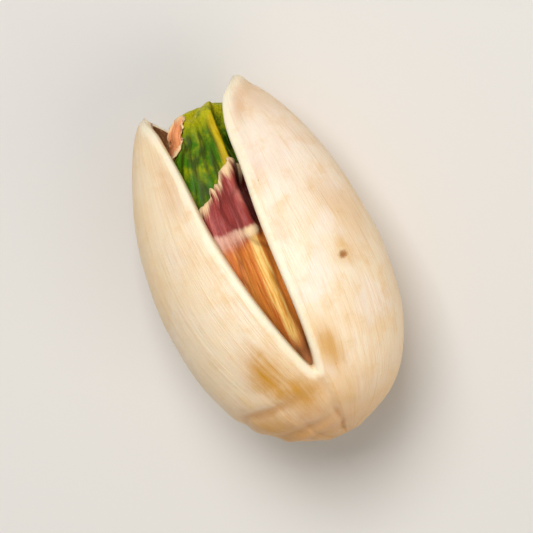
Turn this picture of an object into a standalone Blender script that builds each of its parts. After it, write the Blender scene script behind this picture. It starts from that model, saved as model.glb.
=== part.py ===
"""A pistachio nut in its split shell, lying on its back with the split upwards.

Run it with blender --background --python part.py, or from Blender's text editor.
Units are metres. The nut is first shaped in its own frame, centred on the shell,
with +X towards the open tip, -X the stem end and +Z the seam that has split open.
An empty then tilts it so that its centre of mass stands over its resting spot.
"""

import math

import bmesh
import bpy
from mathutils import Matrix, Vector

MM = 0.001

# The closed shell: half its length, width and height, and the thickness of its wall.
SHELL_HALF = Vector((10.25, 5.90, 5.95)) * MM
SHELL_WALL = 0.85 * MM
# How full the shell is along its length, as powers of x / half length: fuller at the stem end.
FULLNESS = (0.986, -0.305, 0.032, 0.064)
TIP_DROOP = 0.55 * MM  # how far the tip bends towards the closed back seam
TWIST_START = 3.0 * MM  # from here to the stem end, the seam leans over towards -Y
TWIST_EASE = 1.5 * MM
TWIST_PER_METRE = math.radians(950.0)

# Each half swings about the line between the two ends of the split.
SPLIT_END_TOP = Vector((-6.45, 0.0, 5.40)) * MM
SPLIT_END_BACK = Vector((2.10, 0.0, -5.40)) * MM
TIP_REACH = 9.50 * MM  # distance of the tip from that line
TIP_TRAVEL = 1.79 * MM  # how far each half has moved sideways at the tip
OPENING_POWER = 0.75  # the rims bow out, so the gap grows fastest near the split's end
FLANK_EASE = 1.60 * MM  # distance over which the sides of the shell start to move
INNER_SHARE = 0.92  # the inner edge of a rim moves less than the outer edge
FLANK_BLEND = 0.5  # how soon, going down from a rim, the shell moves as its sides do
FLARE_START = 6.50 * MM  # from here on, the two halves also turn outwards
FLARE = 0.60 * MM

# The kernel: half its length, width and height, where it lies and how it leans.
KERNEL_HALF = Vector((8.60, 4.45, 4.50)) * MM
KERNEL_PLACE = Vector((0.80, 0.20, -0.10)) * MM
KERNEL_LEAN = math.radians(3.0)  # its tip leans towards the +Y half
KERNEL_FULLNESS = (0.975, -0.200, -0.060, 0.040)

# The seed coat wraps the kernel's stem end and is torn away from its tip.
COAT_GAP = 0.12 * MM
COAT_WALL = 0.15 * MM
COAT_EDGE = 0.44  # where it ends along the kernel, as x / half length
COAT_EDGE_SLANT = 0.16  # how much further it reaches on the -Y side than on the top
COAT_TONGUE = 0.42  # how much further it reaches down on the +Y side
COAT_TONGUE_WIDTH = math.radians(35.0)
COAT_TONGUE_ANGLE = math.radians(88.0)

# How the nut lies: its pitch, and the thickness worn off at the spot it rests on.
REST_PITCH = math.radians(8.0)
REST_CUT = 0.10 * MM
GROUND_BLOCK = 30.0 * MM  # the cube that stands in for the ground when the spot is cut

SHELL_SEGMENTS, SHELL_RINGS = 40, 30
KERNEL_SEGMENTS, KERNEL_RINGS = 24, 18
COAT_SEGMENTS, COAT_RINGS = 32, 20
ON_SEAM = 1e-6  # how near the middle plane a point of the unit sphere is on the seam
SHARP_ANGLE = math.radians(40.0)

# Linear colour and roughness of each sub-part.
SHELL_LOOK = ("shell_ivory", (0.86, 0.71, 0.50), 0.5)
KERNEL_LOOK = ("kernel_green", (0.24, 0.31, 0.02), 0.4)
COAT_LOOK = ("seed_coat_mauve", (0.36, 0.12, 0.08), 0.5)


def clear_scene():
    for obj in list(bpy.data.objects):
        bpy.data.objects.remove(obj, do_unlink=True)


def material(name, colour, roughness):
    made = bpy.data.materials.new(name)
    made.use_nodes = True
    shader = made.node_tree.nodes["Principled BSDF"]
    shader.inputs["Base Color"].default_value = (*colour, 1.0)
    shader.inputs["Roughness"].default_value = roughness
    shader.inputs["Metallic"].default_value = 0.0
    return made


def ramp(distance, ease):
    """Zero before the start and the distance itself after it, with an eased corner."""
    return (math.hypot(distance, ease) + distance) / 2


def egg(u, half, powers):
    """The point of an egg of these half sizes in direction u, a unit vector."""
    full = sum(factor * u.x**power for power, factor in enumerate(powers))
    return Vector((half.x * u.x, half.y * u.y * full, half.z * u.z * full))


def shell_point(u, depth):
    """A point of the closed shell, this far under its outside."""
    point = egg(u, SHELL_HALF - Vector((depth, depth, depth)), FULLNESS)
    point.z -= TIP_DROOP * max(u.x, 0.0) ** 2
    return point


def twist_at(x):
    """How far the seam has turned over towards -Y at this place along the nut."""
    return TWIST_PER_METRE * ramp(TWIST_START - x, TWIST_EASE)


def past_split_end(point):
    """Distance of a point past the line between the two ends of the split."""
    along = (SPLIT_END_BACK - SPLIT_END_TOP).normalized()
    across = Vector((-along.z, 0.0, along.x))
    return (point - SPLIT_END_TOP).dot(across)


def travel_at(u):
    """How far the shell moves sideways in direction u as its halves open."""
    place = shell_point(u, 0.0)
    past = past_split_end(place)
    at_seam = TIP_TRAVEL * (max(past, 0.0) / TIP_REACH) ** OPENING_POWER
    at_flank = TIP_TRAVEL * (ramp(past, FLANK_EASE) / TIP_REACH) ** OPENING_POWER
    flare = FLARE * (max(place.x - FLARE_START, 0.0) / (SHELL_HALF.x - FLARE_START)) ** 2
    flank = min(abs(u.y), 1.0) ** FLANK_BLEND
    return (at_seam + flare) * (1.0 - flank) + at_flank * flank


def lying_sphere(segments, rings):
    """A unit sphere whose poles lie on the X axis."""
    bm = bmesh.new()
    bmesh.ops.create_uvsphere(bm, u_segments=segments, v_segments=rings, radius=1.0)
    turn = Matrix.Rotation(math.pi / 2, 3, "Y")
    bmesh.ops.rotate(bm, cent=(0, 0, 0), matrix=turn, verts=bm.verts)
    return bm


def split_seam(bm):
    """Splits the sphere along the seam, as far as the shell is open there."""

    def is_open(edge):
        on_seam = all(abs(v.co.y) < ON_SEAM for v in edge.verts)
        return on_seam and any(past_split_end(shell_point(v.co, 0.0)) > 0 for v in edge.verts)

    bmesh.ops.split_edges(bm, edges=[e for e in bm.edges if is_open(e)])


def side_of(vert):
    """+1 or -1 for the half that a vertex belongs to, and 0 on the closed seam."""
    if abs(vert.co.y) > ON_SEAM:
        return math.copysign(1.0, vert.co.y)
    reach = sum(face.calc_center_median().y for face in vert.link_faces)
    return 0.0 if abs(reach) < ON_SEAM else math.copysign(1.0, reach)


def shell_surface(depth, share):
    """The opened shell's surface at this depth under its outside, as a bmesh."""
    bm = lying_sphere(SHELL_SEGMENTS, SHELL_RINGS)
    split_seam(bm)
    sides = {vert: side_of(vert) for vert in bm.verts}
    for vert, side in sides.items():
        point = shell_point(vert.co, depth)
        point.rotate(Matrix.Rotation(twist_at(point.x), 3, "X"))
        point.y += side * travel_at(vert.co) * share
        vert.co = point
    return bm


def wall_between(outer, inner):
    """One closed wall from an outside and an inside that each have one open edge loop."""
    bmesh.ops.reverse_faces(inner, faces=inner.faces)
    held = bpy.data.meshes.new("inside")
    inner.to_mesh(held)
    outer.from_mesh(held)
    bpy.data.meshes.remove(held)
    inner.free()
    bmesh.ops.bridge_loops(outer, edges=[e for e in outer.edges if e.is_boundary])
    bmesh.ops.recalc_face_normals(outer, faces=outer.faces)
    return outer


def add_object(name, bm, parent, look):
    mesh = bpy.data.meshes.new(name)
    bm.to_mesh(mesh)
    bm.free()
    mesh.materials.append(look)
    mesh.shade_smooth()
    mesh.set_sharp_from_angle(angle=SHARP_ANGLE)
    obj = bpy.data.objects.new(name, mesh)
    bpy.context.scene.collection.objects.link(obj)
    obj.parent = parent
    return obj


def make_shell(parent):
    outer = shell_surface(0.0, 1.0)
    inner = shell_surface(SHELL_WALL, INNER_SHARE)
    return add_object("shell", wall_between(outer, inner), parent, material(*SHELL_LOOK))


def kernel_point(u, swell):
    """A point of the kernel's surface grown outwards by swell, in direction u."""
    point = egg(u, KERNEL_HALF + Vector((swell, swell, swell)), KERNEL_FULLNESS)
    return Matrix.Translation(KERNEL_PLACE) @ Matrix.Rotation(KERNEL_LEAN, 4, "Z") @ point


def make_kernel(parent):
    bm = lying_sphere(KERNEL_SEGMENTS, KERNEL_RINGS)
    for vert in bm.verts:
        vert.co = kernel_point(vert.co, 0.0)
    return add_object("kernel", bm, parent, material(*KERNEL_LOOK))


def coat_edge(around):
    """Where the seed coat ends, as x / half length, at an angle from +Z towards +Y."""
    off_tongue = math.remainder(around - COAT_TONGUE_ANGLE, 2 * math.pi)
    tongue = COAT_TONGUE * math.exp(-((off_tongue / COAT_TONGUE_WIDTH) ** 2))
    return COAT_EDGE - COAT_EDGE_SLANT * math.sin(around) + tongue


def coat_surface(swell):
    """The kernel's surface grown by swell, from its stem end to the torn edge."""
    bm = lying_sphere(COAT_SEGMENTS, COAT_RINGS)
    tip_half = [vert for vert in bm.verts if vert.co.x > ON_SEAM]
    bmesh.ops.delete(bm, geom=tip_half, context="VERTS")
    for vert in bm.verts:
        around = math.atan2(vert.co.y, vert.co.z)
        share = max(-1.0, min(1.0, vert.co.x))
        edge = math.acos(coat_edge(around))
        polar = edge + (math.pi - edge) * (2 * math.acos(share) / math.pi - 1)
        ring = math.sin(polar)
        u = Vector((math.cos(polar), ring * math.sin(around), ring * math.cos(around)))
        vert.co = kernel_point(u, swell)
    return bm


def make_seed_coat(parent):
    wall = wall_between(coat_surface(COAT_GAP + COAT_WALL), coat_surface(COAT_GAP))
    return add_object("seed_coat", wall, parent, material(*COAT_LOOK))


def placed_points(obj):
    bpy.context.view_layer.update()
    return [obj.matrix_world @ vert.co for vert in obj.data.vertices]


def lay_down(nut, shell):
    """Tilts the nut, lowers it until only the worn spot is left to cut, and centres it."""
    nut.rotation_euler.y = REST_PITCH
    nut.location.z = -min(point.z for point in placed_points(shell)) - REST_CUT
    for axis in (0, 1):
        values = [point[axis] for point in placed_points(shell)]
        nut.location[axis] = -(max(values) + min(values)) / 2


def cut_resting_spot(shell):
    """Takes off what lies under the surface the nut rests on, leaving a small flat."""
    bpy.ops.mesh.primitive_cube_add(size=GROUND_BLOCK, location=(0.0, 0.0, -GROUND_BLOCK / 2))
    ground = bpy.context.object
    ground.name = "ground_block"
    ground.hide_render = True
    ground.display_type = "WIRE"
    cut = shell.modifiers.new("resting_spot", "BOOLEAN")
    cut.operation = "DIFFERENCE"
    cut.object = ground


def main():
    clear_scene()
    nut = bpy.data.objects.new("nut", None)
    bpy.context.scene.collection.objects.link(nut)
    shell = make_shell(nut)
    make_kernel(nut)
    make_seed_coat(nut)
    lay_down(nut, shell)
    cut_resting_spot(shell)


main()
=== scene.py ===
import math

import bpy
import numpy as np
from mathutils import Matrix, Vector, noise


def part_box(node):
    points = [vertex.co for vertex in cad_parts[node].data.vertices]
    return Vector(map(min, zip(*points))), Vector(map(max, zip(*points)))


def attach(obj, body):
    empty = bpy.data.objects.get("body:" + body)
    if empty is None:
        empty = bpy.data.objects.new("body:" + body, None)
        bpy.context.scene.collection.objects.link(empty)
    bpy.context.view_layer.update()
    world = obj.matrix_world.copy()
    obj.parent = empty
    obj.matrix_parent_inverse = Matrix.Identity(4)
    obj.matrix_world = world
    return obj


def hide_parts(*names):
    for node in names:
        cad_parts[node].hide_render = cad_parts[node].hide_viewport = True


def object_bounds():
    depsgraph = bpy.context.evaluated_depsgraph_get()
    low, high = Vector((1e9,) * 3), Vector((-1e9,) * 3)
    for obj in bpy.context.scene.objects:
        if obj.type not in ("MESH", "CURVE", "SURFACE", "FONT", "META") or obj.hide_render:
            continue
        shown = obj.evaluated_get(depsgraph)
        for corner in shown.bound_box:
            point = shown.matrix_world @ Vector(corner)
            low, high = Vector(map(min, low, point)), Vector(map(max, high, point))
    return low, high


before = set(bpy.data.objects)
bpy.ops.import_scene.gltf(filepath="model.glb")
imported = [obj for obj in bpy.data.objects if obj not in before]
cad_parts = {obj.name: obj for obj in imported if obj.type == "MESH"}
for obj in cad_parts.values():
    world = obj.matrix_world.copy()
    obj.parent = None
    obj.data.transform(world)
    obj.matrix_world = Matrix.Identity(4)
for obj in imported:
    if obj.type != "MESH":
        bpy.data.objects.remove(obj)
cadLow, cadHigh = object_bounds()

# The nut is drawn at one unit to the millimetre in its own frame, centred on the closed shell:
# +X to the open tip, +Z to the seam that has split open. nutPlace() then lays it on the floor.
mm = 0.001
nearZero = 1e-4  # on a ball of radius 1


# small helpers for vertices

def smooth(low, high, x):  # eases from 0 at low to 1 at high, which may be the smaller of the two
    t = np.clip((x - low) / (high - low), 0, 1)
    return t * t * (3 - 2 * t)


def bell(x, width):
    return np.exp(-((x / width) ** 2))


def ramp(distance, ease):  # zero before the start, the distance after it, with an eased corner
    return (np.hypot(distance, ease) + distance) / 2


def grainOf(points, size, octaves=3):  # smooth noise of about -1 to 1 with lumps of this size
    return np.array([noise.fractal(Vector(p) / size, 1.0, 2.0, octaves) for p in points])


def aroundOf(u):  # angle about the nut's length, 0 at the top and positive towards +Y
    return np.arctan2(u[:, 1], u[:, 2])


def verticesOf(piece):
    flat = np.empty(len(piece.data.vertices) * 3)
    piece.data.vertices.foreach_get("co", flat)
    return flat.reshape(-1, 3)


def setVertices(piece, points):
    piece.data.vertices.foreach_set("co", np.ascontiguousarray(points, float).ravel())
    piece.data.update()


def normalsOf(piece):
    flat = np.empty(len(piece.data.vertices) * 3)
    piece.data.vertex_normals.foreach_get("vector", flat)
    return flat.reshape(-1, 3)


def paint(piece, name, values):  # a value or a vector on every vertex, for the material to read
    kind, key = ("FLOAT", "value") if np.ndim(values) == 1 else ("FLOAT_VECTOR", "vector")
    layer = piece.data.attributes.new(name, kind, "POINT")
    layer.data.foreach_set(key, np.ascontiguousarray(values, np.float32).ravel())


def paintGrain(piece, along, around):  # where a streak lies: along the nut, and a direction round it
    paint(piece, "grain", np.column_stack([along, np.cos(around), np.sin(around)]))


def readPaint(piece, name):
    values = np.empty(len(piece.data.vertices), np.float32)
    piece.data.attributes[name].data.foreach_get("value", values)
    return values


def lookAtOnly(piece):
    bpy.ops.object.select_all(action="DESELECT")
    bpy.context.view_layer.objects.active = piece
    piece.select_set(True)


def selectNothing(piece):
    mesh = piece.data
    for part in (mesh.vertices, mesh.edges, mesh.polygons):
        part.foreach_set("select", np.zeros(len(part), bool))


def selectVertices(piece, chosen):  # leaves the piece in edit mode with these vertices selected
    selectNothing(piece)
    piece.data.vertices.foreach_set("select", np.asarray(chosen, bool))
    bpy.ops.object.mode_set(mode="EDIT")
    bpy.ops.mesh.select_mode(type="VERT")


def selectEdges(piece, chosen):  # leaves the piece in edit mode with these edges selected
    selectNothing(piece)
    piece.data.edges.foreach_set("select", np.asarray(chosen, bool))
    bpy.ops.object.mode_set(mode="EDIT")
    bpy.ops.mesh.select_mode(type="EDGE")


def edgeEnds(piece):
    ends = np.empty(len(piece.data.edges) * 2, int)
    piece.data.edges.foreach_get("vertices", ends)
    return ends.reshape(-1, 2)


def lyingBall(name, segments, rings):  # a ball of radius 1 with its poles on the X axis
    bpy.ops.object.select_all(action="DESELECT")
    bpy.ops.mesh.primitive_uv_sphere_add(
        segments=segments, ring_count=rings, radius=1, rotation=(0, math.radians(90), 0)
    )
    bpy.ops.object.transform_apply(location=False, rotation=True, scale=False)
    piece = bpy.context.object
    piece.name = piece.data.name = name
    return piece


def addWall(piece, thickness, offset):
    lookAtOnly(piece)
    wall = piece.modifiers.new("wall", "SOLIDIFY")
    wall.thickness = thickness
    wall.offset = offset
    wall.use_quality_normals = True
    bpy.ops.object.modifier_apply(modifier="wall")


def egg(u, half, fullness):  # the points of an egg in the directions u
    full = sum(factor * u[:, 0] ** power for power, factor in enumerate(fullness))
    return u * half * np.column_stack([np.ones(len(u)), full, full])


# small helpers for materials

def tone(red, green, blue):  # a colour as a screen shows it, 0 to 255, made linear
    return [*[(c / 255 / 12.92) if c < 10.3 else ((c / 255 + 0.055) / 1.055) ** 2.4
              for c in (red, green, blue)], 1.0]


def newLook(name):
    look = bpy.data.materials.new(name)
    look.use_nodes = True
    return look, look.node_tree, look.node_tree.nodes["Principled BSDF"]


def addNode(tree, kind, sockets=None, **settings):
    made = tree.nodes.new(kind)
    for name, value in settings.items():
        setattr(made, name, value)
    for socket, value in (sockets or {}).items():
        if isinstance(value, bpy.types.NodeSocket):
            tree.links.new(value, made.inputs[socket])
        else:
            made.inputs[socket].default_value = value
    return made


def plus(tree, a, b):
    return addNode(tree, "ShaderNodeMath", {0: a, 1: b}, operation="ADD").outputs[0]


def minus(tree, a, b):
    return addNode(tree, "ShaderNodeMath", {0: a, 1: b}, operation="SUBTRACT").outputs[0]


def times(tree, a, b):
    return addNode(tree, "ShaderNodeMath", {0: a, 1: b}, operation="MULTIPLY").outputs[0]


def between(tree, value, low, high, outLow=0.0, outHigh=1.0):  # eases from one share to the other
    return addNode(tree, "ShaderNodeMapRange", {
        "Value": value, "From Min": low, "From Max": high,
        "To Min": outLow, "To Max": outHigh}, interpolation_type="SMOOTHSTEP").outputs[0]


def uneven(tree, value, pattern, outLow, outHigh):  # a value that a pattern moves up or down
    return plus(tree, value, between(tree, pattern, 0.3, 0.7, outLow, outHigh))


def mixValue(tree, share, a, b):
    return addNode(tree, "ShaderNodeMix", {0: share, 2: a, 3: b}).outputs[0]


def mixTone(tree, share, a, b):  # colours as sockets, or as three numbers from a dictionary
    ends = [end if isinstance(end, bpy.types.NodeSocket) else tone(*end) for end in (a, b)]
    mixer = addNode(tree, "ShaderNodeMix", {0: share, 6: ends[0], 7: ends[1]}, data_type="RGBA")
    return mixer.outputs[2]


def painted(tree, name, output="Fac"):
    return addNode(tree, "ShaderNodeAttribute", attribute_name=name).outputs[output]


def axesOf(tree, vector):
    return addNode(tree, "ShaderNodeSeparateXYZ", {0: vector}).outputs


def stretched(tree, vector, scale):
    return addNode(tree, "ShaderNodeMapping", {"Vector": vector, "Scale": scale}).outputs[0]


def noiseOn(tree, spot, scale, detail=3.0, roughness=0.6):
    return addNode(tree, "ShaderNodeTexNoise", {
        "Vector": spot, "Scale": scale, "Detail": detail, "Roughness": roughness}).outputs["Fac"]


def streaksOn(tree, grain, repeats, detail=4.0, roughness=0.6):  # repeats along and around the nut
    along, around = repeats
    return noiseOn(tree, stretched(tree, grain, (along, around, around)), 1.0, detail, roughness)


def blotAt(tree, spot, centre, size, pattern, ragged, soft):  # 1 at the middle of a stain, 0 outside
    offset = addNode(tree, "ShaderNodeVectorMath", {0: spot, 1: centre}, operation="SUBTRACT").outputs[0]
    scaled = stretched(tree, offset, tuple(1 / s for s in size))
    length = addNode(tree, "ShaderNodeVectorMath", {0: scaled}, operation="LENGTH").outputs["Value"]
    broken = plus(tree, length, times(tree, minus(tree, pattern, 0.5), ragged))
    return between(tree, broken, 1.1 - soft, 1.1, 1, 0)


def spreadLight(shader, weight, radius, reach):  # light that spreads under the surface, in millimetres
    shader.inputs["Subsurface Weight"].default_value = weight
    shader.inputs["Subsurface Radius"].default_value = radius
    shader.inputs["Subsurface Scale"].default_value = reach * mm


def bumps(tree, shader, layers):  # patterns and their depths in millimetres, each over the one before
    normal = None
    for height, depth in layers:
        sockets = {"Height": height, "Distance": depth * mm, "Strength": 1.0}
        if normal is not None:
            sockets["Normal"] = normal
        normal = addNode(tree, "ShaderNodeBump", sockets).outputs[0]
    tree.links.new(normal, shader.inputs["Normal"])


# shell

shell = {
    "half": (10.25, 5.90, 5.95),  # half length, width and height when closed
    "fullness": (0.986, -0.305, 0.032, 0.064),  # fuller at the stem end
    "droop": 0.55,  # the tip bends down
    "wall": 0.80, "thinning": 0.42, "thinFrom": 5.0, "thinTo": 9.8,  # thinner by this share at the tip
    "twistStart": 3.0, "twistEase": 1.5, "twist": math.radians(0.95),  # lean of the seam
    "splitTop": (-6.45, 5.40), "splitBack": (2.10, -5.40),  # x and z of the split's two ends
    "reach": 9.5, "travel": 1.79, "power": 0.75,  # how the halves swing apart
    "innerShare": 0.92, "innerNose": 0.9,  # the inner side follows the outer one by these shares
    "flankEase": 1.6, "flankBlend": 0.5,  # the flanks swing later and more gently than the seam
    "flareStart": 6.5, "flare": 0.60,  # the tips spread a little more
    "pointIn": 0.16, "pointInFrom": (5.5, 9.0),  # the +Y half ends in a straight point
    "pointEnd": 0.22, "pointEndFrom": (9.0, 10.2),
    "tuck": 0.38, "tuckFrom": (7.2, 9.4),  # and its lower edge is tucked away
    "noseEnd": 0.50, "noseEndFrom": (9.3, 10.2),  # the -Y half ends in a rounder nose
    "noseFull": 0.30, "nosePlace": 8.6, "noseWidth": 1.9,
    "pitch": math.radians(8.0), "restCut": 0.10,  # it lies nose down on a small flat spot
    "segments": 224, "rings": 160, "trialSize": (40, 30),
    "rimCuts": 4, "rimReach": 0.22, "rimPasses": 4,

    # relief: heights and depths with their sizes
    "lumps": 0.10, "lumpSize": 5.5, "ripple": 0.022, "rippleSize": 1.5,
    "warp": 0.8, "warpSize": 2.2,  # how creases and rolls wander
    "creases": 11, "creaseDepth": 0.17, "creaseFrom": (0.8, 1.7), "creaseTo": (2.0, 5.4),  # at the stem
    "rolls": 0.12, "rollPitch": 1.30, "rollWarp": 2.6,  # soft rolls across the +Y side of the stem end
    "rollFrom": (1.8, 3.0), "rollTo": (4.9, 5.7), "rollAngle": 0.9, "rollSpread": 0.75,
    "scarRadius": 1.0, "scarRing": 0.10, "scarDip": 0.20, "scarEdge": (0.35, 0.95),
    "dimple": 0.28, "dimpleWidth": 0.28,
    "keel": 0.08, "keelWidth": 0.8, "groove": 0.13, "grooveWidth": 0.16,  # the seam where it is closed
    "lip": 0.060, "lipPlace": 0.30, "lipWidth": 0.26, "lipPlainer": 0.45,  # the bead on the open edge
    "trough": 0.030, "troughPlace": 0.95, "troughWidth": 0.35,
    "innerLumps": 0.06, "innerLumpSize": 3.0,

    # finish
    "lightTone": (251, 232, 205), "warmTone": (245, 215, 172), "pinkTone": (252, 236, 222),
    "tanTone": (231, 187, 118), "baseTone": (206, 146, 76), "amberTone": (208, 146, 16),
    "speckTone": (170, 114, 60), "rimTone": (255, 238, 208), "wallTone": (236, 204, 160),
    "insideAndShadeTone": (158, 102, 58),
    "fibreRepeats": (2.2, 20), "fineRepeats": (6, 75), "pitRepeats": (1.1, 1.9, 1.9),
    "cloudScale": 0.20, "pinkScale": 0.33, "mottleScale": 0.85, "gritScale": 9.0,
    "pinkShare": 0.6, "paleShare": 0.8, "mottleShare": 0.45, "fibreShare": 0.45, "fineShare": 0.34,
    "warmShare": 0.45, "baseShare": 0.82, "pitShare": 0.6, "underShadeShare": 0.70, "creaseShadeShare": 0.70,
    "haloShare": 0.40, "rimShare": 0.85, "wallShare": 0.8,
    "roughness": (0.32, 0.46), "softness": 0.25,
    "stains": (  # place, size and strength of the amber smudges
        ((-5.4, 1.6, 5.0), (2.4, 1.5, 2.0), 1.00),
        ((-6.9, 0.5, 4.6), (2.0, 1.6, 2.2), 0.95),
        ((-5.4, -2.1, 5.0), (1.9, 1.0, 2.0), 0.80),
        ((-8.2, 2.9, 2.7), (1.8, 2.2, 2.2), 0.75),
        ((-3.0, 5.2, -3.2), (3.0, 1.6, 2.0), 0.45),
        ((3.6, -4.6, -3.0), (2.6, 1.6, 2.0), 0.40),
        ((-7.8, -3.2, -2.2), (1.8, 1.8, 1.8), 0.45),
    ),
    "specks": (  # place and radius
        ((-1.25, -4.78, 4.3), 0.28),
        ((2.9, -5.0, -1.6), 0.12),
        ((-4.2, 5.1, 0.4), 0.14),
        ((5.6, 3.9, 0.6), 0.10),
        ((-6.3, -3.9, -1.2), 0.13),
    ),
    "fibreBump": 0.050, "fineBump": 0.024, "mottleBump": 0.05, "gritBump": 0.010, "pitBump": 0.03,
}


def pastSplit(points):  # distance past the line between the two ends of the split
    top, back = np.array(shell["splitTop"]), np.array(shell["splitBack"])
    along = (back - top) / np.linalg.norm(back - top)
    return (points[:, 0] - top[0]) * -along[1] + (points[:, 2] - top[1]) * along[0]


def closedShell(u, depth=0.0):
    points = egg(u, np.array(shell["half"]) - depth, shell["fullness"])
    points[:, 2] -= shell["droop"] * np.clip(u[:, 0], 0, 1) ** 2
    return points


def leanBy(points, angle):  # turns each point about the X axis by its own angle
    y, z = points[:, 1].copy(), points[:, 2].copy()
    points[:, 1] = y * np.cos(angle) - z * np.sin(angle)
    points[:, 2] = y * np.sin(angle) + z * np.cos(angle)


def noseOf(u, x, side):  # how far the tip of each half strays from the even flare
    below = smooth(0.06, -0.14, u[:, 2])
    pointed = shell["pointIn"] * smooth(*shell["pointInFrom"], x)
    pointed += shell["pointEnd"] * smooth(*shell["pointEndFrom"], x)
    pointed += shell["tuck"] * smooth(*shell["tuckFrom"], x) * below
    rounded = shell["noseEnd"] * smooth(*shell["noseEndFrom"], x)
    rounded -= shell["noseFull"] * bell(x - shell["nosePlace"], shell["noseWidth"])
    return np.where(side > 0, pointed, rounded)


def openShell(u, side, depth=0.0, share=1.0, nose=0.0):
    outside = closedShell(u)
    x = outside[:, 0]
    thinned = 1 - shell["thinning"] * smooth(shell["thinFrom"], shell["thinTo"], outside[:, :1])
    points = closedShell(u, depth * thinned)
    past = pastSplit(outside)
    atSeam = shell["travel"] * (np.clip(past, 0, None) / shell["reach"]) ** shell["power"]
    atFlank = shell["travel"] * (ramp(past, shell["flankEase"]) / shell["reach"]) ** shell["power"]
    intoFlare = np.clip(x - shell["flareStart"], 0, None) / (shell["half"][0] - shell["flareStart"])
    flare = shell["flare"] * intoFlare ** 2 + nose * noseOf(u, x, side)
    flank = np.clip(np.abs(u[:, 1]), 0, 1) ** shell["flankBlend"]
    swing = (atSeam + flare) * (1 - flank) + atFlank * flank
    leanBy(points, shell["twist"] * ramp(shell["twistStart"] - points[:, 0], shell["twistEase"]))
    points[:, 1] += side * swing * share
    return points


def splitHalves(piece):  # opens the seam's edges, and says which half each vertex is on
    points = verticesOf(piece)
    onSeam = np.abs(points[:, 1]) < nearZero
    past = pastSplit(closedShell(points)) > 0
    ends = edgeEnds(piece)
    lookAtOnly(piece)
    selectEdges(piece, onSeam[ends].all(1) & past[ends].any(1))
    bpy.ops.mesh.edge_split(type="EDGE")
    bpy.ops.object.mode_set(mode="OBJECT")
    side = np.zeros(len(piece.data.vertices))
    for face in piece.data.polygons:
        side[list(face.vertices)] += math.copysign(1, face.center.y)
    side = np.sign(side)  # 0 where the seam is still closed
    points = verticesOf(piece)
    onSeam = np.abs(points[:, 1]) < nearZero
    return points, np.where(onSeam, side, np.sign(points[:, 1])), onSeam & (side != 0)


def rimDistance(points, rim):  # of every point, to every second point of the open edge
    nearest = np.full(len(points), np.inf)
    for spot in points[rim][::2]:
        nearest = np.minimum(nearest, np.linalg.norm(points - spot, axis=1))
    return nearest


def stemRelief(u, points):  # creases and soft rolls about the stem scar, and the scar itself
    around = aroundOf(u)
    radius = np.hypot(points[:, 1], points[:, 2])
    warp = shell["warp"] * grainOf(points, shell["warpSize"], 2)
    crease = (1 - np.abs(np.sin(shell["creases"] * around / 2 + warp))) ** 2
    window = smooth(*shell["creaseFrom"], radius) * (1 - smooth(*shell["creaseTo"], radius))
    strength = 0.55 + 0.45 * np.sin(3 * around + 1)  # deep on three sides, faint between them
    height = -shell["creaseDepth"] * window * strength * crease
    rolls = np.sin(2 * math.pi * radius / shell["rollPitch"] + shell["rollWarp"] * warp)
    window = smooth(*shell["rollFrom"], radius) * (1 - smooth(*shell["rollTo"], radius))
    window *= bell(around - shell["rollAngle"], shell["rollSpread"])
    height += shell["rolls"] * window * rolls
    height += shell["scarRing"] * bell(radius - shell["scarRadius"], shell["dimpleWidth"])
    height -= shell["scarDip"] * (1 - smooth(*shell["scarEdge"], radius))
    height -= shell["dimple"] * bell(radius, shell["dimpleWidth"])
    return np.where(u[:, 0] < 0, height, 0)


def seamRelief(u, points, rim):  # the seam that is still closed: a low keel with a groove along it
    radius = np.hypot(points[:, 1], points[:, 2])
    offSeam = np.abs(u[:, 1]) * shell["half"][1]
    closed = smooth(-0.1, 1.0, -pastSplit(closedShell(u)))
    fade = np.where(u[:, 2] > 0, 1 - 0.5 * smooth(1.5, 4.0, rim), 0.6)
    keel = shell["keel"] * bell(offSeam, shell["keelWidth"])
    groove = shell["groove"] * bell(offSeam, shell["grooveWidth"])
    return smooth(1.1, 1.8, radius) * closed * fade * (keel - groove)


def lipRelief(points, side, rim):  # a bead along the open edge and a faint trough, plainer on the +Y half
    bead = np.where(side < 0, 1.0, shell["lipPlainer"]) * (0.8 + 0.5 * grainOf(points, 1.3, 2))
    lip = shell["lip"] * bell(rim - shell["lipPlace"], shell["lipWidth"])
    trough = shell["trough"] * bell(rim - shell["troughPlace"], shell["troughWidth"])
    return bead * (lip - trough)


def roundRim(piece, outerCount):
    # more rows across the wall's open edge, which is then smoothed with the surface beside it
    ends = edgeEnds(piece)
    lookAtOnly(piece)
    selectEdges(piece, (ends[:, 0] < outerCount) != (ends[:, 1] < outerCount))
    bpy.ops.mesh.subdivide(number_cuts=shell["rimCuts"])
    bpy.ops.object.mode_set(mode="OBJECT")
    selectVertices(piece, readPaint(piece, "rim") < shell["rimReach"])
    bpy.ops.mesh.vertices_smooth(factor=0.5, repeat=shell["rimPasses"])
    bpy.ops.object.mode_set(mode="OBJECT")


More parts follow.
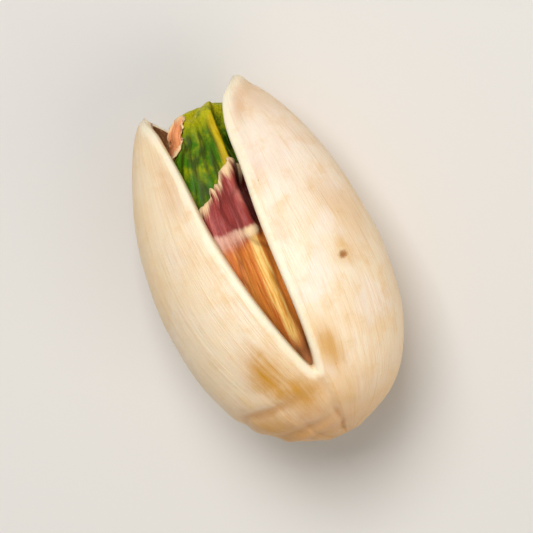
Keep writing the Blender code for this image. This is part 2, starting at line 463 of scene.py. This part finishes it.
def makeShell():
    piece = lyingBall("shellBody", shell["segments"], shell["rings"])
    u, side, rimVertex = splitHalves(piece)
    outer = openShell(u, side, nose=1.0)
    setVertices(piece, outer)
    rim = rimDistance(outer, rimVertex)
    height = shell["lumps"] * grainOf(outer, shell["lumpSize"], 2)
    height += shell["ripple"] * grainOf(outer * np.array([0.35, 1, 1]), shell["rippleSize"], 3)
    height += stemRelief(u, outer) + seamRelief(u, outer, rim) + lipRelief(outer, side, rim)
    outer = outer + normalsOf(piece) * height[:, None]
    inner = openShell(u, side, shell["wall"], shell["innerShare"], shell["innerNose"])
    lumps = shell["innerLumps"] * grainOf(inner, shell["innerLumpSize"], 2)
    inner += normalsOf(piece) * lumps[:, None]
    paintGrain(piece, u[:, 0], aroundOf(u))
    paint(piece, "rim", rim)
    paint(piece, "height", height)
    paint(piece, "nut", outer)
    addWall(piece, shell["wall"], -1)
    setVertices(piece, np.vstack([outer, inner]))  # the inner side goes where it was worked out
    paint(piece, "inside", np.repeat([0, 1], len(outer)))
    roundRim(piece, len(outer))
    print("shell", len(piece.data.vertices), "vertices")
    return piece


def nutPlace():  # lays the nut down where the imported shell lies
    ball = lyingBall("trial", *shell["trialSize"])
    u, side, rimVertex = splitHalves(ball)
    bpy.data.objects.remove(ball)
    turn = Matrix.Rotation(shell["pitch"], 3, "Y")
    points = openShell(u, side) @ np.array(turn).T
    middle = (points.max(0) + points.min(0)) / 2 * mm
    low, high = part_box("shell")
    place = Vector([(low.x + high.x) / 2 - middle[0], (low.y + high.y) / 2 - middle[1],
                    low.z - points[:, 2].min() * mm - shell["restCut"] * mm])
    return Matrix.Translation(place) @ turn.to_4x4() @ Matrix.Scale(mm, 4)


def stainShell(tree, colour, spot, streaky, grit):  # amber smudges, and dark specks in a soft halo
    for centre, size, strength in shell["stains"]:
        blot = blotAt(tree, spot, centre, size, streaky, ragged=1.5, soft=1.05)
        colour = mixTone(tree, times(tree, blot, strength), colour, shell["amberTone"])
    for centre, radius in shell["specks"]:
        halo = blotAt(tree, spot, centre, (3 * radius, 3 * radius, 2.0), grit, ragged=0.6, soft=0.8)
        colour = mixTone(tree, times(tree, halo, shell["haloShare"]), colour, shell["tanTone"])
        dot = blotAt(tree, spot, centre, (radius, radius, 1.8), grit, ragged=0.8, soft=0.8)
        colour = mixTone(tree, dot, colour, shell["speckTone"])
    return colour


def edgeShell(tree, colour, streaky, grit):  # the pale rim, the cut of the wall, and the brown inside, painted darker than its own tan for the shade in the split
    toRim = uneven(tree, painted(tree, "rim"), streaky, -0.15, 0.25)
    rim = between(tree, toRim, 0.25, 0.65, shell["rimShare"], 0)
    colour = mixTone(tree, rim, colour, shell["rimTone"])
    across = uneven(tree, painted(tree, "inside"), grit, -0.12, 0.12)
    wall = between(tree, across, 0.30, 0.60, 0, shell["wallShare"])
    colour = mixTone(tree, wall, colour, shell["wallTone"])
    # the inside's own brown, painted darker for the shade inside the shell
    return mixTone(tree, between(tree, across, 0.75, 1.0), colour, shell["insideAndShadeTone"])


def shellFinish():
    look, tree, shader = newLook("drySatinShell")
    spot = painted(tree, "nut", "Vector")
    grain = painted(tree, "grain", "Vector")
    x, y, z = axesOf(tree, spot)
    fibre = streaksOn(tree, grain, shell["fibreRepeats"])
    fine = streaksOn(tree, grain, shell["fineRepeats"], 3)
    mottle = noiseOn(tree, spot, shell["mottleScale"], 4, 0.62)
    grit = noiseOn(tree, spot, shell["gritScale"])
    streaky = plus(tree, times(tree, mottle, 0.45), times(tree, fibre, 0.55))
    cells = addNode(tree, "ShaderNodeTexVoronoi", {
        "Vector": stretched(tree, spot, shell["pitRepeats"]), "Scale": 1.0}).outputs["Distance"]
    pits = times(tree, between(tree, cells, 0.07, 0.02), between(tree, mottle, 0.5, 0.6))

    # clouds of cream and pink, palest on the -Y half near the tip
    cloud = between(tree, noiseOn(tree, spot, shell["cloudScale"], 3, 0.55), 0.35, 0.65)
    colour = mixTone(tree, cloud, shell["lightTone"], shell["warmTone"])
    pink = noiseOn(tree, spot, shell["pinkScale"], 2, 0.5)
    pink = between(tree, pink, 0.52, 0.66, 0, shell["pinkShare"])
    colour = mixTone(tree, pink, colour, shell["pinkTone"])
    pale = times(tree, between(tree, y, -0.4, -3.0), between(tree, x, -1.0, 6.0, 0, shell["paleShare"]))
    colour = mixTone(tree, pale, colour, shell["pinkTone"])

    # tan mottling and fibres, a warmer +Y half, a brown stem end, and painted shade in tan on the
    # undersides
    for pattern, low, high, share in (
            (mottle, 0.48, 0.76, shell["mottleShare"]),
            (fibre, 0.50, 0.74, shell["fibreShare"]),
            (fine, 0.54, 0.70, shell["fineShare"])):
        colour = mixTone(tree, between(tree, pattern, low, high, 0, share), colour, shell["tanTone"])
    warm = between(tree, y, 0.5, 4.0, 0, shell["warmShare"])
    colour = mixTone(tree, warm, colour, shell["warmTone"])
    toStem = plus(tree, x, times(tree, mottle, 3.0))
    base = between(tree, toStem, -3.8, -8.6, 0, shell["baseShare"])
    base = times(tree, base, between(tree, y, -4.0, 1.5, 0.30, 1))
    colour = mixTone(tree, base, colour, shell["baseTone"])
    colour = mixTone(tree, times(tree, pits, shell["pitShare"]), colour, shell["speckTone"])
    # painted shade: the shell turns tan towards its underside
    under = between(tree, z, 3.6, -2.5, 0, shell["underShadeShare"])
    colour = mixTone(tree, under, colour, shell["tanTone"])

    colour = stainShell(tree, colour, spot, streaky, grit)
    # painted shade in the creases about the stem, deeper where the relief is deeper
    crease = between(tree, painted(tree, "height"), -0.02, -0.16, 0, shell["creaseShadeShare"])
    colour = mixTone(tree, crease, colour, shell["baseTone"])
    colour = edgeShell(tree, colour, streaky, grit)
    tree.links.new(colour, shader.inputs["Base Color"])
    rough = between(tree, mottle, 0.3, 0.7, *shell["roughness"])
    tree.links.new(uneven(tree, rough, grit, -0.04, 0.06), shader.inputs["Roughness"])
    spreadLight(shader, shell["softness"], (1.0, 0.55, 0.30), 0.9)
    bumps(tree, shader, [
        (fibre, shell["fibreBump"]), (fine, shell["fineBump"]), (mottle, shell["mottleBump"]),
        (grit, shell["gritBump"]), (minus(tree, 1.0, pits), shell["pitBump"])])
    print("shell finish done")
    return look


# kernel

kernel = {
    "half": (8.65, 4.45, 4.50), "fullness": (0.975, -0.200, -0.060, 0.040),
    "place": (0.80, 0.34, -0.10), "lean": math.radians(-1.0),
    "bend": -0.32, "bendFrom": (3.0, 9.5),  # the front bends across towards the -Y half
    "blunt": 0.62,  # the tip is this much fuller than an egg's
    "furrows": 0.12, "furrowRepeats": (1.5, 3.2),  # along and around
    "ridge": 0.26, "ridgeWidth": 0.38, "ridgeY": -0.88,  # the long ridge that shows in the split
    "ridgeStep": 0.27, "ridgeStepAt": (6.2, 4.6),  # it moves across towards the stem end in two steps
    "ridgeStepBase": 0.24, "ridgeStepBaseAt": (0.8, -2.0),
    "valley": 0.26, "valleyPlace": 1.2, "valleyWidth": 0.55,  # on the +Y side of the ridge
    "gapBase": 0.20, "gapDeep": 1.90, "gapTip": 1.25,  # how far the -Y side of the ridge drops
    "gapFrom": (1.2, 2.6), "gapTo": (4.8, 6.4), "gapTipFrom": (5.6, 6.6),
    "lumps": 0.14, "lumpSize": 3.2, "tipLumps": 0.20, "tipLumpSize": 0.9,
    "segments": 200, "rings": 150,

    # finish
    "greenTone": (66, 116, 0), "deepTone": (54, 92, 0), "brightTone": (158, 164, 2),
    "tipTone": (198, 188, 2), "ridgeHighlightTone": (218, 184, 22), "furrowShadeTone": (56, 60, 2),
    "streakRepeats": (2.0, 9), "threadRepeats": (5.0, 30), "mottleScale": 1.1, "poreScale": 7.0,
    "deepShare": 0.7, "tipShare": 0.9, "furrowShadeShare": 0.8, "ridgeHighlightShare": 0.85,
    "roughness": (0.42, 0.58), "specular": 0.20, "softness": 0.15,
    "streakBump": 0.08, "threadBump": 0.03, "mottleBump": 0.08, "poreBump": 0.025,
}


def ringPoints(u, along, around):  # a place to read noise from, long or short in each direction
    off = np.hypot(u[:, 1], u[:, 2]).clip(1e-6)
    return np.column_stack([u[:, 0] * along, u[:, 1] / off * around, u[:, 2] / off * around])


def kernelFurrows(u):
    lines = grainOf(ringPoints(u, *kernel["furrowRepeats"]), 1.0, 3)
    furrows = (1 - np.abs(lines) * 2.4).clip(0, 1) ** 2
    return furrows * smooth(0.1, 0.6, np.hypot(u[:, 1], u[:, 2]))


def kernelEgg(u):  # the plain egg in its place, and its outward directions
    points = egg(u, kernel["half"], kernel["fullness"])
    tip = 1 + kernel["blunt"] * smooth(0.80, 1.0, u[:, 0])
    points[:, 1] *= tip
    points[:, 2] *= tip
    out = points / np.array(kernel["half"]) ** 2
    out /= np.linalg.norm(out, axis=1)[:, None]
    turn = np.array(Matrix.Rotation(kernel["lean"], 3, "Z"))
    points = points @ turn.T + np.array(kernel["place"])
    points[:, 1] += kernel["bend"] * smooth(*kernel["bendFrom"], points[:, 0])
    return points, out @ turn.T


def offRidge(points):  # millimetres across from the ridge, and far away below the kernel's middle
    x = points[:, 0]
    line = kernel["ridgeY"] + kernel["ridgeStep"] * smooth(*kernel["ridgeStepAt"], x)
    line += kernel["ridgeStepBase"] * smooth(*kernel["ridgeStepBaseAt"], x)
    return np.where(points[:, 2] > 0.3, points[:, 1] - line, 9.0)


def gapBeside(x, off):  # on the -Y side of the ridge: a line at the stem end, then a deep gap
    deep = smooth(*kernel["gapFrom"], x) * (1 - smooth(*kernel["gapTo"], x))
    drop = kernel["gapBase"] + (kernel["gapDeep"] - kernel["gapBase"]) * deep
    drop += (kernel["gapTip"] - kernel["gapBase"]) * smooth(*kernel["gapTipFrom"], x)
    return drop * smooth(0.12, 0.50, -off) * (1 - smooth(1.6, 2.8, -off))


def kernelSurface(u):
    points, out = kernelEgg(u)
    x = points[:, 0]
    off = offRidge(points)
    height = kernel["ridge"] * bell(off, kernel["ridgeWidth"])
    height -= kernel["valley"] * bell(off - kernel["valleyPlace"], kernel["valleyWidth"])
    height -= kernel["furrows"] * kernelFurrows(u) + gapBeside(x, off)
    height += kernel["lumps"] * grainOf(points, kernel["lumpSize"], 2)
    height += kernel["tipLumps"] * grainOf(points, kernel["tipLumpSize"], 2) * smooth(7.0, 9.0, x)
    return points + out * height[:, None]


def makeKernel():
    piece = lyingBall("kernelBody", kernel["segments"], kernel["rings"])
    u = verticesOf(piece)
    points = kernelSurface(u)
    setVertices(piece, points)
    body = smooth(0.25, 0.55, np.hypot(u[:, 1], u[:, 2]))  # 0 at both ends
    paintGrain(piece, u[:, 0], aroundOf(u))
    paint(piece, "nut", points)
    paint(piece, "body", body)
    # these mark where the finish paints shade in the furrows and a highlight along the ridge
    paint(piece, "furrowShade", kernelFurrows(u) * body)
    paint(piece, "ridge", bell(offRidge(kernelEgg(u)[0]), kernel["ridgeWidth"] * 1.1) * body)
    print("kernel", len(piece.data.vertices), "vertices")
    return piece


def kernelFinish():
    look, tree, shader = newLook("oilyGreenKernel")
    spot = painted(tree, "nut", "Vector")
    grain = painted(tree, "grain", "Vector")
    mottle = noiseOn(tree, spot, kernel["mottleScale"], 4)
    pores = noiseOn(tree, spot, kernel["poreScale"])
    body = painted(tree, "body")  # streaks end in pores at both ends, where they would meet in a star
    streak = mixValue(tree, body, pores, streaksOn(tree, grain, kernel["streakRepeats"]))
    thread = mixValue(tree, body, pores, streaksOn(tree, grain, kernel["threadRepeats"], 3))

    # green with bright patches and deep streaks, and a yellower tip
    bright = between(tree, mottle, 0.42, 0.74)
    colour = mixTone(tree, bright, kernel["greenTone"], kernel["brightTone"])
    deep = between(tree, streak, 0.48, 0.70, 0, kernel["deepShare"])
    colour = mixTone(tree, deep, colour, kernel["deepTone"])
    green = between(tree, mottle, 0.48, 0.72, 0, 0.8)
    tip = mixTone(tree, green, kernel["tipTone"], kernel["greenTone"])
    along = plus(tree, axesOf(tree, spot)[0], times(tree, mottle, 1.5))
    colour = mixTone(tree, between(tree, along, 8.4, 9.9, 0, kernel["tipShare"]), colour, tip)

    # painted shade in the furrows, and a painted highlight in yellow along the ridge
    furrowShade = between(tree, painted(tree, "furrowShade"), 0.25, 0.95, 0, kernel["furrowShadeShare"])
    colour = mixTone(tree, furrowShade, colour, kernel["furrowShadeTone"])
    crestHighlight = uneven(tree, painted(tree, "ridge"), streak, 0.10, -0.40)
    crestHighlight = between(tree, crestHighlight, 0.20, 0.90, 0, kernel["ridgeHighlightShare"])
    colour = mixTone(tree, crestHighlight, colour, kernel["ridgeHighlightTone"])
    tree.links.new(colour, shader.inputs["Base Color"])
    tree.links.new(between(tree, mottle, 0.3, 0.7, *kernel["roughness"]), shader.inputs["Roughness"])
    shader.inputs["Specular IOR Level"].default_value = kernel["specular"]
    spreadLight(shader, kernel["softness"], (0.8, 1.0, 0.3), 0.5)
    bumps(tree, shader, [
        (streak, kernel["streakBump"]), (thread, kernel["threadBump"]),
        (mottle, kernel["mottleBump"]), (pores, kernel["poreBump"])])
    print("kernel finish done")
    return look


# seed coat

coat = {
    "gap": 0.04, "wall": 0.07,
    "edge": 0.49, "slant": 0.13, "slantEase": 0.35,  # where it ends along the kernel, as x / half length
    "tongue": 0.72, "tongueAngle": math.radians(96), "tongueWidth": math.radians(33),
    "tongueBend": math.radians(55),  # the tongue leans up into the split
    "tears": ((2.2, 0.035), (6.0, 0.036), (16.0, 0.024), (42.0, 0.010)),  # repeats round the edge, depth
    "tearScale": 6.5,  # millimetres of skin to one radian of the ball
    "curl": 0.15, "curlWidth": 0.30, "curlEvenness": 0.55,
    "wrinkles": 0.05, "streaks": 0.08,
    "fold": 0.15, "foldPlace": 2.08, "foldSlant": 0.10, "foldWidth": 0.36,
    "foldTail": 1.6, "foldWander": 0.099,  # it runs out slowly on the +Y side, and isn't quite straight
    "foldFrom": (-0.55, -0.25), "foldTo": (0.2, 0.6),  # angles round the kernel
    "segments": 256, "rings": 200,

    # finish
    "mauveTone": (182, 80, 70), "wineTone": (140, 44, 42), "roseTone": (216, 136, 120),
    "tanTone": (238, 154, 66), "rustTone": (206, 104, 38), "strawHighlightTone": (255, 216, 126),
    "goldHighlightTone": (238, 172, 66), "endTone": (255, 168, 104), "redShadowTone": (255, 150, 56),
    "darkShadowTone": (92, 28, 14), "tongueTone": (240, 154, 98), "paleTone": (250, 220, 172),
    "blushTone": (236, 184, 158), "lipTone": (246, 212, 160),
    "streakRepeats": (1.6, 14), "threadRepeats": (4.0, 42), "mottleScale": 0.8, "paperScale": 7.0,
    "strawHighlightShare": 0.9, "endShare": 0.9, "hollowShadowShare": 0.85, "furrowShadeShare": 0.45, "foldShare": 0.9,
    "lipShare": 0.95, "roughness": (0.40, 0.58), "specular": 0.35,
    "streakBump": 0.10, "threadBump": 0.035, "mottleBump": 0.06, "paperBump": 0.02,
}


def offTongue(around):
    off = around - coat["tongueAngle"]
    return np.arctan2(np.sin(off), np.cos(off))


def coatEdge(around):  # how far the skin reaches at each angle round the kernel
    top = 1 - smooth(2.2, 3.1, np.abs(around))  # the slant fades out underneath
    edge = coat["edge"] - coat["slant"] * np.tanh(around / coat["slantEase"]) * top
    edge += coat["tongue"] * bell(offTongue(around), coat["tongueWidth"])
    ring = np.column_stack([np.cos(around), np.sin(around), np.zeros(len(around))])
    for repeats, depth in coat["tears"]:
        edge += depth * grainOf(ring * repeats, 1.0, 2)
    return np.clip(edge, -0.5, 0.975)


def openBall():  # half a ball, open towards +X
    piece = lyingBall("seedCoat", coat["segments"], coat["rings"])
    lookAtOnly(piece)
    selectVertices(piece, verticesOf(piece)[:, 0] > nearZero)
    bpy.ops.mesh.delete(type="VERT")
    bpy.ops.object.mode_set(mode="OBJECT")
    return piece


def coatFold(points, turned, wander, wrinkle):  # 1 along the fold that crosses the split
    off = points[:, 0] - coat["foldPlace"] - coat["foldSlant"] * points[:, 1]
    off -= coat["foldWander"] * wander
    tail = np.where(off < 0, smooth(-0.9, 0.4, points[:, 1]), 0)
    fold = bell(off / (1 + coat["foldTail"] * tail), coat["foldWidth"])
    fold *= smooth(*coat["foldFrom"], turned) * (1 - smooth(*coat["foldTo"], turned))
    return fold * (0.82 + 0.18 * wrinkle)


def makeCoat():
    piece = openBall()
    ball = verticesOf(piece)
    around = aroundOf(ball)

    # the half ball's open edge goes to the torn edge, and the tongue is bent up
    edge = np.arccos(coatEdge(around))
    back = np.arccos(np.clip(ball[:, 0], -1, 1)) / (math.pi / 2) - 1  # 0 at the tear, 1 at the stem end
    polar = edge + (math.pi - edge) * np.clip(back, 0, 1)
    tongue = smooth(0.60, 0.88, np.cos(polar)) * bell(offTongue(around), coat["tongueWidth"] * 1.3)
    turned = around - coat["tongueBend"] * tongue
    off = np.sin(polar)
    u = np.column_stack([np.cos(polar), off * np.sin(turned), off * np.cos(turned)])
    points = kernelSurface(u)
    setVertices(piece, points)

    # it stands clear of the kernel, more at wrinkles, at the fold and at the curled edge
    toEdge = (polar - edge) * coat["tearScale"]
    wrinkle = grainOf(ringPoints(u, 5.0, 9.0), 1.0, 3)
    streak = grainOf(ringPoints(u, 2.0, 14.0), 1.0, 3)
    wander = grainOf(ringPoints(u, 4.0, 6.0), 1.0, 2)
    fold = coatFold(points, turned, wander, wrinkle)
    curl = coat["curl"] * bell(toEdge, coat["curlWidth"])
    lift = coat["gap"] + coat["fold"] * fold
    lift += coat["wrinkles"] * (0.5 + 0.5 * wrinkle) + coat["streaks"] * (0.5 + 0.5 * streak)
    lift += curl * (coat["curlEvenness"] + (1 - coat["curlEvenness"]) * wander)
    setVertices(piece, points + normalsOf(piece) * lift[:, None])

    # the ridge line, where the finish paints a highlight along it and a shadow in the gap beside it
    across = offRidge(kernelEgg(u)[0])
    crestHighlight = bell(across - 0.03, kernel["ridgeWidth"] * 0.70) * smooth(-5.4, -3.6, points[:, 0])
    paintGrain(piece, u[:, 0], turned)
    paint(piece, "along", points[:, 0])
    paint(piece, "rim", toEdge)
    paint(piece, "fold", fold)
    paint(piece, "flap", smooth(-0.7, 0.1, points[:, 1]))
    paint(piece, "tongue", tongue)
    paint(piece, "ridge", crestHighlight)
    paint(piece, "hollowShadow", smooth(0.15, 0.55, -across) * (1 - smooth(2.0, 3.0, -across)))
    paint(piece, "furrowShade", kernelFurrows(u))
    addWall(piece, coat["wall"], 1)
    print("seed coat", len(piece.data.vertices), "vertices")
    return piece


def coatFinish():
    look, tree, shader = newLook("paperySeedCoat")
    metres = addNode(tree, "ShaderNodeTexCoord").outputs["Object"]
    spot = stretched(tree, metres, (1 / mm, 1 / mm, 1 / mm))
    grain = painted(tree, "grain", "Vector")
    streak = streaksOn(tree, grain, coat["streakRepeats"], 5, 0.65)
    thread = streaksOn(tree, grain, coat["threadRepeats"], 3)
    mottle = noiseOn(tree, spot, coat["mottleScale"], 4)
    paper = noiseOn(tree, spot, coat["paperScale"])
    along = plus(tree, painted(tree, "along"), times(tree, minus(tree, mottle, 0.5), 1.6))

    # mauve towards the tear, with wine and rosy streaks
    wine = between(tree, streak, 0.38, 0.65)
    mauve = mixTone(tree, wine, coat["mauveTone"], coat["wineTone"])
    rosy = times(tree, between(tree, streak, 0.52, 0.36), between(tree, mottle, 0.42, 0.62, 0.15, 0.75))
    mauve = mixTone(tree, rosy, mauve, coat["roseTone"])

    # tan behind it, with rust streaks, a painted highlight in pale yellow along the ridge, and a paler
    # stem end
    tan = mixTone(tree, between(tree, streak, 0.35, 0.68), coat["tanTone"], coat["rustTone"])
    strawHighlight = mixTone(tree, between(tree, thread, 0.44, 0.62), coat["strawHighlightTone"], coat["goldHighlightTone"])
    crestHighlight = uneven(tree, painted(tree, "ridge"), streak, 0.20, -0.40)
    crestHighlight = uneven(tree, crestHighlight, thread, 0.15, -0.25)
    tan = mixTone(tree, between(tree, crestHighlight, 0.10, 0.90, 0, coat["strawHighlightShare"]), tan, strawHighlight)
    end = between(tree, along, -3.6, -5.6, 0, coat["endShare"])
    tan = mixTone(tree, end, tan, coat["endTone"])
    colour = mixTone(tree, between(tree, along, 1.0, 2.2), tan, mauve)

    # painted shadow in the gap beside the ridge, the tongue, painted shade in the furrows, the fold and
    # the torn edge
    # painted shadow: red-brown at the stem end, near black towards the tear
    shade = mixTone(tree, between(tree, along, 1.0, 2.4), coat["redShadowTone"], coat["darkShadowTone"])
    hollowShadow = between(tree, painted(tree, "hollowShadow"), 0.15, 0.8, 0, coat["hollowShadowShare"])
    colour = mixTone(tree, hollowShadow, colour, shade)
    tongue = between(tree, painted(tree, "tongue"), 0.1, 0.5)
    colour = mixTone(tree, tongue, colour, coat["tongueTone"])
    furrowShade = between(tree, painted(tree, "furrowShade"), 0.3, 1, 0, coat["furrowShadeShare"])
    colour = mixTone(tree, furrowShade, colour, coat["darkShadowTone"])
    pale = mixTone(tree, painted(tree, "flap"), coat["paleTone"], coat["blushTone"])
    fold = uneven(tree, painted(tree, "fold"), streak, 0.12, -0.22)
    colour = mixTone(tree, between(tree, fold, 0.20, 0.75, 0, coat["foldShare"]), colour, pale)
    toTear = uneven(tree, painted(tree, "rim"), streak, -0.28, 0.28)
    lip = between(tree, toTear, 0.0, 0.60, coat["lipShare"], 0)
    colour = mixTone(tree, lip, colour, coat["lipTone"])
    tree.links.new(colour, shader.inputs["Base Color"])
    tree.links.new(between(tree, mottle, 0.3, 0.7, *coat["roughness"]), shader.inputs["Roughness"])
    shader.inputs["Specular IOR Level"].default_value = coat["specular"]
    bumps(tree, shader, [
        (streak, coat["streakBump"]), (thread, coat["threadBump"]),
        (mottle, coat["mottleBump"]), (paper, coat["paperBump"])])
    print("seed coat finish done")
    return look


# putting it together

def finishPiece(piece, place, look, node):
    piece.data.transform(place)
    piece.data.materials.clear()
    piece.data.materials.append(look)
    piece.data.shade_smooth()
    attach(piece, "root")
    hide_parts(node)


def flattenUnder(piece):  # the small flat spot the nut lies on
    points = verticesOf(piece)
    points[:, 2] = np.maximum(points[:, 2], cadLow.z)
    setVertices(piece, points)


place = nutPlace()
shellBody = makeShell()
finishPiece(shellBody, place, shellFinish(), "shell")
flattenUnder(shellBody)
kernelBody = makeKernel()
finishPiece(kernelBody, place, kernelFinish(), "kernel")
seedCoat = makeCoat()
finishPiece(seedCoat, place, coatFinish(), "seed_coat")
print("pieces done")


# stage, light and camera

studio = {
    "floorSize": 1.2, "floorTone": (222, 219, 214), "floorRoughness": 0.8,
    "lens": 250, "sensor": 36, "frameHeight": 0.0295, "clip": (0.005, 10),
    "roll": math.radians(25), "sideStep": math.radians(9),  # how the camera looks on the split
    "keyFrom": (-0.22, 0.35, 1.0), "keyPower": 0.94, "keySize": 0.16, "keyDistance": 0.34,
    "keyTone": (255, 255, 255),  # a lamp stands to the camera's right, up and back by these shares
    "fillFrom": (1.0, -0.9, 0.8), "fillPower": 0.75, "fillSize": 0.4, "fillDistance": 0.45,
    "fillTone": (255, 244, 228),
    "skyTone": (232, 232, 232), "skyStrength": 0.33,
}


def makeFloor():
    bpy.ops.object.select_all(action="DESELECT")
    bpy.ops.mesh.primitive_plane_add(size=studio["floorSize"], location=(0, 0, cadLow.z))
    floor = bpy.context.object
    floor.name = "floor"
    look, tree, shader = newLook("palePaper")
    shader.inputs["Base Color"].default_value = tone(*studio["floorTone"])
    shader.inputs["Roughness"].default_value = studio["floorRoughness"]
    floor.data.materials.append(look)


def viewFrame():  # right, up and back directions of the camera, from the way the nut lies
    turn = Matrix.Rotation(shell["pitch"], 3, "Y")
    back = turn @ Vector((0, -math.sin(studio["sideStep"]), math.cos(studio["sideStep"])))
    tip = turn @ Vector((1, 0, 0))
    tip = (tip - back * tip.dot(back)).normalized()
    across = back.cross(tip)
    cos, sin = math.cos(studio["roll"]), math.sin(studio["roll"])
    right = -sin * tip - cos * across
    up = cos * tip - sin * across
    return right, up, back


def makeCamera():
    right, up, back = viewFrame()
    data = bpy.data.cameras.new("camera")
    data.lens = studio["lens"]
    data.sensor_width = studio["sensor"]
    data.clip_start, data.clip_end = studio["clip"]
    camera = bpy.data.objects.new("camera", data)
    bpy.context.collection.objects.link(camera)
    centre = (cadLow + cadHigh) / 2
    distance = studio["frameHeight"] * studio["lens"] / studio["sensor"]
    turn = Matrix((right, up, back)).transposed().to_4x4()
    camera.matrix_world = Matrix.Translation(centre + back * distance) @ turn
    bpy.context.scene.camera = camera


def addLamp(name):  # an area lamp from the dictionary's rows of that name
    right, up, back = viewFrame()
    data = bpy.data.lights.new(name, "AREA")
    data.energy = studio[name + "Power"]
    data.size = studio[name + "Size"]
    data.color = tone(*studio[name + "Tone"])[:3]
    lamp = bpy.data.objects.new(name, data)
    bpy.context.collection.objects.link(lamp)
    toRight, toUp, toBack = studio[name + "From"]
    direction = (toBack * back + toRight * right + toUp * up).normalized()
    lamp.location = (cadLow + cadHigh) / 2 + direction * studio[name + "Distance"]
    lamp.rotation_euler = direction.to_track_quat("Z", "Y").to_euler()


def makeSky():
    world = bpy.data.worlds.new("sky")
    bpy.context.scene.world = world
    world.use_nodes = True
    sky = world.node_tree.nodes["Background"]
    sky.inputs["Color"].default_value = tone(*studio["skyTone"])
    sky.inputs["Strength"].default_value = studio["skyStrength"]


makeFloor()
makeCamera()
addLamp("key")
addLamp("fill")
makeSky()
bpy.context.scene.view_settings.view_transform = "Standard"
print("stage, light and camera done")

print("scene ready")
